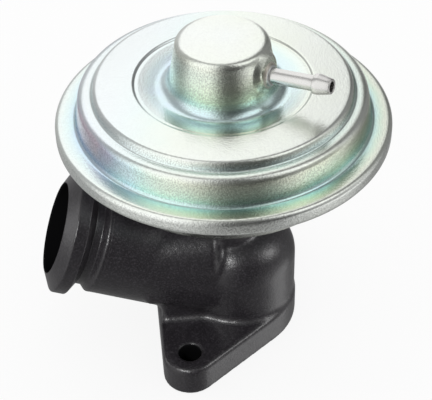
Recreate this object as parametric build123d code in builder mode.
"""Vacuum operated exhaust gas recirculation valve.

Units are millimetres. The origin is the centre of the bottom mounting face, on the axis
of the valve stem. +Z runs up the stem to the vacuum canister, and the inlet pipe points
to -X, rising as it leaves the body.
"""
import os
from math import cos, pi, radians, sin, sqrt, tan

from build123d import *

# ---------------------------------------------------------------- driving dimensions

# Bottom mounting flange, a lozenge round two bolt lugs
flange_thickness = 10.3
flange_margin = 0.4
bolt_circle_diameter = 66.4
bolt_hole_diameter = 7.0
lug_radius = 8.5
lug_angle = -114.8
flange_edge_radius = 1.6

# Stem, guide and seal
stem_diameter = 8.0
stem_running_clearance = 0.05
guide_wall = 3.0
guide_protrusion = 4.0
seal_pocket_depth = 7.2
seal_wall = 4.0
seal_height = 5.0
seal_cap_clearance = 0.3

# Seat and poppet
seat_bore_diameter = 24.0
seat_wall = 3.0
seat_height = 8.5
seat_cone_depth = 1.5
seat_gap = 0.07
poppet_overlap = 1.2
poppet_edge_height = 2.2
poppet_below_seat = 0.4
poppet_neck_height = 5.5
poppet_side_clearance = 0.8
rivet_diameter = 6.0
rivet_head_diameter = 9.0
rivet_head_height = 0.8
valve_lift = 6.0

# Inclined inlet pipe with a V-band lip; distances run along its axis from the stem axis
pipe_tilt = 20.9
pipe_above_seat = 0.46
pipe_bore_diameter = 28.0
pipe_wall = 3.6
pipe_length = 57.0
mouth_bore_length = 24.0
cast_way_step = 0.4
lip_rise = 2.3
lip_front_length = 2.8
lip_land_length = 3.8
lip_back_length = 2.6
groove_length = 2.4
groove_depth = 1.8
mouth_edge = 0.25
# Corner radii from the groove's first shoulder to the lip's front edge
lip_edge_radii = [1.0, 0.5, 0.8, 0.5, 0.6]

# Valve chamber: a column over the seat and an arched housing where the pipe joins it
chamber_wall = 4.9
chamber_roof_radius = 6.0
roof_thickness = 5.3
column_offset = 3.6
column_rise = 18.2
column_shoulder_radius = 12.0
arch_rise = 6.1
arch_setback = 0.4
arch_shoulder_radius = 12.0
arch_inner_end = -3.0
arch_end_radius = 2.5
arch_outer_end = -26.0
plinth_inset = 1.9
plinth_end = -21.8
plinth_height = 19.0
plinth_setback = 1.2
plinth_overlap = 1.0
column_foot_fillet = 1.5
selection_slack = 0.01

# Neck and its top flange, which carry the canister
neck_wall = 4.0
neck_foot_fillet = 0.8
neck_top_fillet = 2.0
neck_top_land = 0.1
head_thickness = 6.0
head_screw_circle = 30.0
screw_boss_wall = 3.1
screw_count = 3
screw_diameter = 5.0
screw_head_overhang = 1.7
screw_head_height = 2.4
screw_engagement = 5.0
screw_head_chamfer = 0.4
screw_hole_clearance = 0.2
screw_slot_width = 1.2
screw_slot_depth = 1.1
lock_washer_thickness = 0.6
clamp_ring_thickness = 1.2
clamp_ring_radius = 21.0

# Vacuum canister: stamped cover and pan, joined by a crimped rim
canister_height = 63.2
crimp_radius = 49.9
cover_sheet = 1.3
pan_sheet = 1.4
pan_wall_lean = 8.5
pan_corner_radius = 4.0
pan_flange_width = 3.2
pan_rim_bend_radius = 1.2
gasket_thickness = 1.0
gasket_lap = 2.0
crimp_return = 2.5
rim_clearance = 0.3
rim_width = 6.2
wall_lean = 1.2
wall_height = 8.6
shoulder_width = 3.8
step_lean = 1.0
step_height = 2.9
plateau_drop = 0.3
ledge_lean = 0.6
ledge_depth = 0.55
ledge_width = 1.0
trough_depth = 1.85
trough_width = 8.5
boss_foot_radius = 16.4
boss_lean = 2.9
boss_rise = 16.8
# Bends of the cover, from the crimp's lip to the top of the boss
cover_bend_radii = [1.5, 1.5, 1.2, 2.2, 0.8, 1.5, 0.8, 0.6, 1.5, 3.5, 2.2]
vent_count = 4
vent_diameter = 5.0
vent_start_angle = 45.0

# Diaphragm and what clamps it to the stem
diaphragm_thickness = 1.3
diaphragm_spare_drop = 1.0
diaphragm_rest_gap = 0.5
diaphragm_clamp_width = 7.3
diaphragm_roll_width = 5.4
diaphragm_roll_radius = 2.0
support_plate_setback = 1.7
support_plate_thickness = 1.3
piston_plate_setback = 1.2
piston_plate_thickness = 1.2
piston_rim_height = 5.0
piston_rim_lean = 0.6
piston_bend_radius = 2.2
washer_thickness = 1.0
washer_radius = 6.5
stem_tip_diameter = 5.0
nut_across_flats = 8.0
nut_height = 3.6
tip_above_nut = 0.8
tip_chamfer = 0.6

# Return spring and its seat
spring_wire = 2.4
spring_outer_diameter = 21.0
spring_turns = 6.0
spring_seat_thickness = 0.8
spring_seat_depth = 5.0
spring_seat_clearance = 0.9
spring_seat_bend_radius = 1.2

# Vacuum nipple on the side of the boss
nipple_angle = -34.1
nipple_tilt = 7.5
nipple_above_trough = 7.2
nipple_bore_diameter = 3.0
nipple_diameter = 4.56
nipple_depth_behind_pad = 3.4
barb_distance = 14.35
barb_diameter = 6.0
barb_land = 1.2
barb_taper_length = 4.0
barb_tip_diameter = 4.4
collar_thickness = 1.0
collar_diameter = 6.2
collar_chamfer = 0.3
pad_diameter = 10.4
pad_above_nipple = 1.2
pad_rise = 0.3
pad_depth = 2.0
pad_edge_radius = 0.9

# ---------------------------------------------------------------- derived places

# Radii round the stem axis, from the stem outwards
stem_radius = stem_diameter / 2
guide_bore_radius = stem_radius + stem_running_clearance
guide_radius = stem_radius + guide_wall
neck_radius = guide_radius + neck_wall
seal_radius = stem_radius + seal_wall
clamped_bore_radius = seal_radius - gasket_lap
tip_radius = stem_tip_diameter / 2
rivet_radius = rivet_diameter / 2
rivet_head_radius = rivet_head_diameter / 2
seat_bore_radius = seat_bore_diameter / 2
seat_radius = seat_bore_radius + seat_wall
seat_cone_foot = seat_height - seat_cone_depth
poppet_radius = seat_bore_radius + poppet_overlap
chamber_radius = poppet_radius + poppet_side_clearance
column_radius = chamber_radius + chamber_wall
flange_centre_radius = column_offset + column_radius + flange_margin

# The pipe's bore meets the chamber just above the seat
tilt = radians(pipe_tilt)
pipe_bore_radius = pipe_bore_diameter / 2
pipe_radius = pipe_bore_radius + pipe_wall
cast_way_radius = pipe_bore_radius - cast_way_step
pipe_foot_height = seat_height + pipe_above_seat
pipe_axis_height = pipe_foot_height + pipe_bore_radius / cos(tilt) - chamber_radius * tan(tilt)
lip_radius = pipe_radius + lip_rise
lip_front = pipe_length - lip_front_length
lip_back = lip_front - lip_land_length
groove_end = lip_back - lip_back_length
groove_start = groove_end - groove_length
groove_radius = pipe_radius - groove_depth
column_height = pipe_axis_height + column_rise
chamber_roof = column_height - roof_thickness
arch_height = pipe_axis_height + pipe_radius + arch_rise
arch_width = 2 * (pipe_radius - arch_setback)
plinth_half_width = arch_width / 2 - plinth_inset

# Heights of the canister, from the neck's flange upwards
head_top = canister_height - gasket_thickness
head_bottom = head_top - head_thickness
seal_floor = head_top - seal_pocket_depth
ring_bottom = canister_height + pan_sheet
screw_head_bottom = ring_bottom + clamp_ring_thickness + lock_washer_thickness
screw_head_top = screw_head_bottom + screw_head_height
support_bottom = screw_head_top + diaphragm_rest_gap
stem_shoulder = support_bottom - washer_thickness
diaphragm_disc = support_bottom + support_plate_thickness
piston_bottom = diaphragm_disc + diaphragm_thickness
piston_top = piston_bottom + piston_plate_thickness
nut_bottom = piston_top + washer_thickness
tip_top = nut_bottom + nut_height + tip_above_nut
diaphragm_rim = diaphragm_disc + valve_lift + diaphragm_spare_drop
pan_flange_bottom = diaphragm_rim - pan_sheet
rim_height = diaphragm_rim + diaphragm_thickness + cover_sheet
crimp_bottom = pan_flange_bottom - cover_sheet
shoulder_height = rim_height + wall_height
plateau_height = shoulder_height + step_height
ledge_height = plateau_height - ledge_depth
trough_height = ledge_height - trough_depth
boss_height = trough_height + boss_rise
spring_top = boss_height - cover_sheet - spring_seat_thickness
nipple_axis_height = trough_height + nipple_above_trough

# Radii of the canister, from the crimped rim inwards
clamped_radius = crimp_radius - cover_sheet - rim_clearance
pan_rim_foot_radius = crimp_radius - pan_flange_width
pan_floor_radius = pan_rim_foot_radius - pan_wall_lean
wall_foot_radius = crimp_radius - rim_width
shoulder_radius = wall_foot_radius - wall_lean
shoulder_inner_radius = shoulder_radius - shoulder_width
plateau_outer_radius = shoulder_inner_radius - step_lean
trough_radius = boss_foot_radius + trough_width
ledge_radius = trough_radius + ledge_width
plateau_inner_radius = ledge_radius + ledge_lean
boss_top_radius = boss_foot_radius - boss_lean
diaphragm_clamp_radius = crimp_radius - diaphragm_clamp_width
diaphragm_disc_radius = diaphragm_clamp_radius - diaphragm_roll_width
support_plate_radius = diaphragm_disc_radius - support_plate_setback
piston_plate_radius = diaphragm_disc_radius - piston_plate_setback
vent_circle_radius = (clamp_ring_radius + pan_floor_radius - pan_corner_radius) / 2
spring_radius = (spring_outer_diameter - spring_wire) / 2
spring_seat_radius = spring_outer_diameter / 2 + spring_seat_clearance

# Screws that hold the pan to the neck's flange
screw_radius = screw_diameter / 2
screw_hole_radius = screw_radius + screw_hole_clearance
screw_head_radius = screw_radius + screw_head_overhang
head_lobe_radius = screw_radius + screw_boss_wall
# The head's outline comes nearest to the stem axis half way between two screws
head_flat_radius = head_screw_circle / 2 * cos(pi / screw_count) + head_lobe_radius
neck_top_radius = min(neck_top_fillet, head_flat_radius - neck_radius - neck_top_land)

# Places along the nipple's axis, from the stem axis outwards
boss_radius_at_nipple = boss_foot_radius - boss_lean * nipple_above_trough / boss_rise
collar_start = boss_radius_at_nipple + pad_rise
pad_foot = collar_start - pad_depth
nipple_start = collar_start - nipple_depth_behind_pad
barb_start = collar_start + barb_distance
nipple_length = barb_start + barb_land + barb_taper_length

pipe_plane = Plane(
    origin=(0, 0, pipe_axis_height),
    x_dir=(0, 1, 0),
    z_dir=(-cos(tilt), 0, sin(tilt)),
)
nipple_plane = Plane(
    origin=(0, 0, nipple_axis_height),
    x_dir=(-sin(radians(nipple_angle)), cos(radians(nipple_angle)), 0),
    z_dir=(
        cos(radians(nipple_angle)) * cos(radians(nipple_tilt)),
        sin(radians(nipple_angle)) * cos(radians(nipple_tilt)),
        sin(radians(nipple_tilt)),
    ),
)
# Half planes through each tilted axis, in which its turned shapes are drawn
pipe_section = Plane(origin=pipe_plane.origin, x_dir=pipe_plane.x_dir, z_dir=-pipe_plane.y_dir)
nipple_section = Plane(
    origin=nipple_plane.origin, x_dir=nipple_plane.x_dir, z_dir=-nipple_plane.y_dir
)
pipe_axis = Axis(pipe_plane.origin, pipe_plane.z_dir)
nipple_axis = Axis(nipple_plane.origin, nipple_plane.z_dir)

os.makedirs("parts", exist_ok=True)


def ring(name, bottom, height, outer_radius, inner_radius):
    """A plain turned ring round the stem axis."""
    with BuildPart(Plane.XY.offset(bottom)) as piece:
        Cylinder(outer_radius, height, align=(Align.CENTER, Align.CENTER, Align.MIN))
        Cylinder(
            inner_radius, height, align=(Align.CENTER, Align.CENTER, Align.MIN), mode=Mode.SUBTRACT
        )
    finish(piece, name)


def finish(piece, name):
    """Label a finished piece and write it."""
    piece.part.label = name
    export_step(piece.part, f"parts/{name}.step")


def sheet_section(points, radii, thickness):
    """Outline of bent sheet: a filleted path and its parallel on the path's left."""
    path = FilletPolyline(*points, radius=radii)
    offset(path, amount=thickness, side=Side.LEFT, closed=True)


# ---------------------------------------------------------------- valve body


def neck_edges():
    """Edges of the neck's round wall, from the lowest up."""
    walls = valve_body.faces().filter_by(GeomType.CYLINDER)
    return walls.filter_by_position(Axis.Z, arch_height, head_bottom)[0].edges().sort_by(Axis.Z)


# Flange outline: a round centre and two bolt lugs, joined by tangent edges
with BuildSketch() as flange_outline:
    Circle(flange_centre_radius)
    with PolarLocations(bolt_circle_diameter / 2, 2, start_angle=lug_angle):
        Circle(lug_radius)
    make_hull()

with BuildPart() as valve_body:
    # Arched housing that turns the pipe into the column, its inner end rounded off
    with BuildSketch(Plane.YZ.offset(arch_inner_end)) as arch_profile:
        with Locations((0, plinth_height)):
            Rectangle(arch_width, arch_height - plinth_height, align=(Align.CENTER, Align.MIN))
        fillet(arch_profile.vertices().group_by(Axis.Y)[-1], arch_shoulder_radius)
    extrude(amount=arch_outer_end - arch_inner_end)
    inner_end = valve_body.faces().sort_by(Axis.X)[-1]
    fillet(inner_end.edges().sort_by(Axis.Z)[1:], arch_end_radius)

    # Bottom flange, and the plinth that stands on it under the housing
    with BuildSketch():
        add(flange_outline.sketch)
    extrude(amount=flange_thickness)
    flange_top = valve_body.faces().filter_by(Plane.XY).sort_by(Axis.Z)[1]
    fillet(flange_top.edges(), flange_edge_radius)
    with BuildSketch() as plinth:
        with Locations(((plinth_end + column_offset) / 2, 0)):
            Rectangle(column_offset - plinth_end, 2 * plinth_half_width)
        offset(flange_outline.sketch, amount=-plinth_setback, mode=Mode.INTERSECT)
    extrude(amount=plinth_height + plinth_overlap)

    # Column over the seat, with a rounded shoulder
    with BuildSketch(Plane.XZ) as column_profile:
        with Locations((column_offset, 0)):
            Rectangle(column_radius, column_height, align=(Align.MIN, Align.MIN))
        outer_corners = column_profile.vertices().group_by(Axis.X)[-1]
        fillet(outer_corners.sort_by(Axis.Y)[-1], column_shoulder_radius)
    revolve(axis=Axis((column_offset, 0, 0), (0, 0, 1)))

    # Pipe with its groove and V-band lip
    with BuildSketch(pipe_section):
        with BuildLine():
            FilletPolyline(
                (0, 0),
                (pipe_radius, 0),
                (pipe_radius, groove_start - groove_depth),
                (groove_radius, groove_start),
                (groove_radius, groove_end),
                (lip_radius, lip_back),
                (lip_radius, lip_front),
                (pipe_bore_radius + mouth_edge, pipe_length),
                (0, pipe_length),
                radius=[0, 0, *lip_edge_radii, 0, 0],
                close=True,
            )
        make_face()
    revolve(axis=pipe_axis)

    # Neck and its three-lobed head
    with BuildSketch(Plane.XY.offset(chamber_roof)):
        Circle(neck_radius)
    extrude(amount=head_bottom - chamber_roof)
    with BuildSketch(Plane.XY.offset(head_bottom)):
        with PolarLocations(head_screw_circle / 2, screw_count):
            Circle(head_lobe_radius)
        make_hull()
    extrude(amount=head_thickness)

    # Casting fillets: the column's foot on the flange, the neck's top and its foot
    flange_arcs = valve_body.edges().filter_by(GeomType.CIRCLE).filter_by_position(
        Axis.Z, flange_thickness - selection_slack, flange_thickness + selection_slack
    )
    fillet(flange_arcs.sort_by(SortBy.LENGTH)[-2:], column_foot_fillet)
    fillet(neck_edges()[-1], neck_top_radius)
    foot_edges = neck_edges().filter_by_position(Axis.Z, 0, arch_height + selection_slack)
    fillet(foot_edges, neck_foot_fillet)

    # Gas ways: the bore over the seat, the chamber beside it and the pipe's bore
    with BuildSketch():
        Circle(seat_radius)
    extrude(amount=seat_height, mode=Mode.SUBTRACT)
    with BuildSketch(Plane.XZ) as chamber_profile:
        Rectangle(chamber_radius, chamber_roof, align=(Align.MIN, Align.MIN))
        outer_corners = chamber_profile.vertices().group_by(Axis.X)[-1]
        fillet(outer_corners.sort_by(Axis.Y)[-1], chamber_roof_radius)
    revolve(axis=Axis.Z, mode=Mode.SUBTRACT)
    with BuildSketch(pipe_plane):
        Circle(cast_way_radius)
    extrude(amount=pipe_length, mode=Mode.SUBTRACT)
    with BuildSketch(pipe_plane.offset(pipe_length - mouth_bore_length)):
        Circle(pipe_bore_radius)
    extrude(amount=mouth_bore_length, mode=Mode.SUBTRACT)

    # Guide bore, seal pocket and the holes for bolts and screws
    with BuildSketch(Plane.XY.offset(chamber_roof - roof_thickness / 2)):
        Circle(guide_radius)
    extrude(until=Until.LAST, mode=Mode.SUBTRACT)
    with BuildSketch(Plane.XY.offset(seal_floor)):
        Circle(seal_radius)
    extrude(until=Until.LAST, mode=Mode.SUBTRACT)
    with PolarLocations(bolt_circle_diameter / 2, 2, start_angle=lug_angle):
        Hole(bolt_hole_diameter / 2, depth=flange_thickness)
    with BuildSketch(Plane.XY.offset(head_bottom)):
        with PolarLocations(head_screw_circle / 2, screw_count):
            Circle(screw_radius)
    extrude(amount=head_thickness, mode=Mode.SUBTRACT)
finish(valve_body, "valve_body")

# ---------------------------------------------------------------- seat, guide and seal

with BuildPart() as seat_ring:
    with BuildSketch(Plane.XZ):
        with BuildLine():
            Polyline(
                (seat_bore_radius, 0),
                (seat_radius, 0),
                (seat_radius, seat_height),
                (seat_bore_radius + seat_cone_depth, seat_height),
                (seat_bore_radius, seat_cone_foot),
                close=True,
            )
        make_face()
    revolve(axis=Axis.Z)
finish(seat_ring, "seat_ring")

guide_bottom = chamber_roof - guide_protrusion
ring("stem_guide", guide_bottom, seal_floor - guide_bottom, guide_radius, guide_bore_radius)
ring("stem_seal", seal_floor, seal_height, seal_radius, guide_bore_radius)
ring(
    "seal_cap",
    seal_floor + seal_height,
    seal_pocket_depth - seal_height,
    seal_radius,
    guide_bore_radius + seal_cap_clearance,
)

# ---------------------------------------------------------------- poppet and stem

# The poppet's cone lies parallel to the seat's cone, a small gap above it
cone_shift = seat_gap * sqrt(2)
poppet_bottom = seat_cone_foot - poppet_below_seat
poppet_bottom_radius = seat_bore_radius - poppet_below_seat - cone_shift
poppet_edge_bottom = poppet_bottom + poppet_radius - poppet_bottom_radius
poppet_edge_top = poppet_edge_bottom + poppet_edge_height
poppet_top = poppet_edge_top + poppet_neck_height

with BuildPart() as poppet:
    with BuildSketch(Plane.XZ):
        with BuildLine():
            Polyline(
                (stem_radius, poppet_top),
                (rivet_radius, poppet_top),
                (rivet_radius, poppet_bottom),
                (poppet_bottom_radius, poppet_bottom),
                (poppet_radius, poppet_edge_bottom),
                (poppet_radius, poppet_edge_top),
            )
            TangentArc((poppet_radius, poppet_edge_top), (stem_radius, poppet_top), tangent=(-1, 0))
        make_face()
    revolve(axis=Axis.Z)
finish(poppet, "poppet")

with BuildPart() as valve_stem:
    with BuildSketch(Plane.XZ):
        with BuildLine():
            Polyline(
                (0, poppet_bottom - rivet_head_height),
                (rivet_head_radius - rivet_head_height / 2, poppet_bottom - rivet_head_height),
                (rivet_head_radius, poppet_bottom - rivet_head_height / 2),
                (rivet_head_radius, poppet_bottom),
                (rivet_radius, poppet_bottom),
                (rivet_radius, poppet_top),
                (stem_radius, poppet_top),
                (stem_radius, stem_shoulder),
                (tip_radius, stem_shoulder),
                (tip_radius, tip_top - tip_chamfer),
                (tip_radius - tip_chamfer, tip_top),
                (0, tip_top),
                close=True,
            )
        make_face()
    revolve(axis=Axis.Z)
finish(valve_stem, "valve_stem")

# ---------------------------------------------------------------- diaphragm stack

ring("lower_stem_washer", stem_shoulder, washer_thickness, washer_radius, tip_radius)
ring("support_plate", support_bottom, support_plate_thickness, support_plate_radius, tip_radius)
ring("upper_stem_washer", piston_top, washer_thickness, washer_radius, tip_radius)

with BuildPart() as diaphragm:
    with BuildSketch(Plane.XZ):
        with BuildLine():
            sheet_section(
                [
                    (tip_radius, diaphragm_disc),
                    (diaphragm_disc_radius, diaphragm_disc),
                    (diaphragm_clamp_radius, diaphragm_rim),
                    (clamped_radius, diaphragm_rim),
                ],
                [diaphragm_roll_radius, diaphragm_roll_radius],
                diaphragm_thickness,
            )
        make_face()
    revolve(axis=Axis.Z)
finish(diaphragm, "diaphragm")

with BuildPart() as piston_plate:
    with BuildSketch(Plane.XZ):
        with BuildLine():
            sheet_section(
                [
                    (tip_radius, piston_bottom),
                    (piston_plate_radius - piston_rim_lean, piston_bottom),
                    (piston_plate_radius, piston_bottom + piston_rim_height),
                ],
                [piston_bend_radius],
                piston_plate_thickness,
            )
        make_face()
    revolve(axis=Axis.Z)
finish(piston_plate, "piston_plate")

with BuildPart() as stem_nut:
    with BuildSketch(Plane.XY.offset(nut_bottom)):
        RegularPolygon(nut_across_flats / 2, 6, major_radius=False)
        Circle(tip_radius, mode=Mode.SUBTRACT)
    extrude(amount=nut_height)
finish(stem_nut, "stem_nut")

# ---------------------------------------------------------------- gasket, pan and screws

with BuildPart() as body_gasket:
    with BuildSketch(Plane.XY.offset(head_top)):
        with PolarLocations(head_screw_circle / 2, screw_count):
            Circle(head_lobe_radius)
        make_hull()
        Circle(clamped_bore_radius, mode=Mode.SUBTRACT)
        with PolarLocations(head_screw_circle / 2, screw_count):
            Circle(screw_hole_radius, mode=Mode.SUBTRACT)
    extrude(amount=gasket_thickness)
finish(body_gasket, "body_gasket")

with BuildPart() as lower_pan:
    with BuildSketch(Plane.XZ):
        with BuildLine():
            sheet_section(
                [
                    (clamped_bore_radius, canister_height),
                    (pan_floor_radius, canister_height),
                    (pan_rim_foot_radius, pan_flange_bottom),
                    (clamped_radius, pan_flange_bottom),
                ],
                [pan_corner_radius, pan_rim_bend_radius],
                pan_sheet,
            )
        make_face()
    revolve(axis=Axis.Z)
    with BuildSketch(Plane.XY.offset(canister_height)):
        with PolarLocations(head_screw_circle / 2, screw_count):
            Circle(screw_hole_radius)
        with PolarLocations(vent_circle_radius, vent_count, start_angle=vent_start_angle):
            Circle(vent_diameter / 2)
    extrude(amount=pan_sheet, mode=Mode.SUBTRACT)
finish(lower_pan, "lower_pan")

with BuildPart() as clamp_ring:
    with BuildSketch(Plane.XY.offset(ring_bottom)):
        Circle(clamp_ring_radius)
        Circle(clamped_bore_radius, mode=Mode.SUBTRACT)
        with PolarLocations(head_screw_circle / 2, screw_count):
            Circle(screw_hole_radius, mode=Mode.SUBTRACT)
    extrude(amount=clamp_ring_thickness)
finish(clamp_ring, "clamp_ring")

with BuildPart() as lock_washers:
    with BuildSketch(Plane.XY.offset(ring_bottom + clamp_ring_thickness)):
        with PolarLocations(head_screw_circle / 2, screw_count):
            Circle(screw_head_radius)
            Circle(screw_radius, mode=Mode.SUBTRACT)
    extrude(amount=lock_washer_thickness)
finish(lock_washers, "lock_washers")

with BuildPart() as pan_screws:
    with BuildSketch(Plane.XY.offset(screw_head_bottom)):
        with PolarLocations(head_screw_circle / 2, screw_count):
            Circle(screw_head_radius)
    extrude(amount=screw_head_height)
    chamfer(pan_screws.edges().group_by(Axis.Z)[-1], screw_head_chamfer)
    with BuildSketch(Plane.XY.offset(screw_head_bottom)):
        with PolarLocations(head_screw_circle / 2, screw_count):
            Circle(screw_radius)
    extrude(amount=head_top - screw_engagement - screw_head_bottom)
    with BuildSketch(Plane.XY.offset(screw_head_top)):
        with PolarLocations(head_screw_circle / 2, screw_count):
            Rectangle(2 * screw_head_radius, screw_slot_width)
    extrude(amount=-screw_slot_depth, mode=Mode.SUBTRACT)
finish(pan_screws, "pan_screws")

# ---------------------------------------------------------------- upper cover

with BuildPart() as upper_cover:
    with BuildSketch(Plane.XZ):
        with BuildLine():
            sheet_section(
                [
                    (crimp_radius - crimp_return, crimp_bottom),
                    (crimp_radius, crimp_bottom),
                    (crimp_radius, rim_height),
                    (wall_foot_radius, rim_height),
                    (shoulder_radius, shoulder_height),
                    (shoulder_inner_radius, shoulder_height),
                    (plateau_outer_radius, plateau_height - plateau_drop),
                    (plateau_inner_radius, plateau_height),
                    (ledge_radius, ledge_height),
                    (trough_radius, ledge_height),
                    (boss_foot_radius, trough_height),
                    (boss_top_radius, boss_height),
                    (0, boss_height),
                ],
                cover_bend_radii,
                cover_sheet,
            )
        make_face()
    revolve(axis=Axis.Z)
    # Flat pad on the boss wall that the nipple's collar sits on
    with BuildSketch(nipple_plane.offset(pad_foot)):
        with Locations((0, pad_above_nipple)):
            Circle(pad_diameter / 2)
    extrude(amount=collar_start - pad_foot)
    pad_face = upper_cover.faces().filter_by(nipple_plane).sort_by(nipple_axis)[-1]
    fillet(pad_face.edges(), pad_edge_radius)
    with BuildSketch(nipple_plane.offset(nipple_start)):
        Circle(nipple_diameter / 2)
    extrude(until=Until.LAST, mode=Mode.SUBTRACT)
finish(upper_cover, "upper_cover")

# ---------------------------------------------------------------- vacuum nipple

with BuildPart() as vacuum_nipple:
    with BuildSketch(nipple_section):
        with BuildLine():
            Polyline(
                (nipple_bore_diameter / 2, nipple_start),
                (nipple_diameter / 2, nipple_start),
                (nipple_diameter / 2, barb_start),
                (barb_diameter / 2, barb_start),
                (barb_diameter / 2, barb_start + barb_land),
                (barb_tip_diameter / 2, nipple_length),
                (nipple_bore_diameter / 2, nipple_length),
                close=True,
            )
        make_face()
    revolve(axis=nipple_axis)
finish(vacuum_nipple, "vacuum_nipple")

with BuildPart() as nipple_collar:
    with BuildSketch(nipple_plane.offset(collar_start)):
        Circle(collar_diameter / 2)
        Circle(nipple_diameter / 2, mode=Mode.SUBTRACT)
    extrude(amount=collar_thickness)
    outer_edges = nipple_collar.edges().filter_by(GeomType.CIRCLE).sort_by(SortBy.RADIUS)[-2:]
    chamfer(outer_edges.sort_by(nipple_axis)[-1], collar_chamfer)
finish(nipple_collar, "nipple_collar")

# ---------------------------------------------------------------- return spring

with BuildPart() as spring_seat:
    with BuildSketch(Plane.XZ):
        with BuildLine():
            sheet_section(
                [
                    (spring_seat_radius, boss_height - cover_sheet - spring_seat_depth),
                    (spring_seat_radius, boss_height - cover_sheet),
                    (0, boss_height - cover_sheet),
                ],
                [spring_seat_bend_radius],
                spring_seat_thickness,
            )
        make_face()
    revolve(axis=Axis.Z)
finish(spring_seat, "spring_seat")

spring_rise = spring_top - piston_top - spring_wire
with BuildPart() as return_spring:
    with BuildLine() as coil:
        Helix(
            pitch=spring_rise / spring_turns,
            height=spring_rise,
            radius=spring_radius,
            center=(0, 0, piston_top + spring_wire / 2),
        )
    with BuildSketch(Plane(origin=coil.line @ 0, z_dir=coil.line % 0)):
        Circle(spring_wire / 2)
    sweep(is_frenet=True)
finish(return_spring, "return_spring")
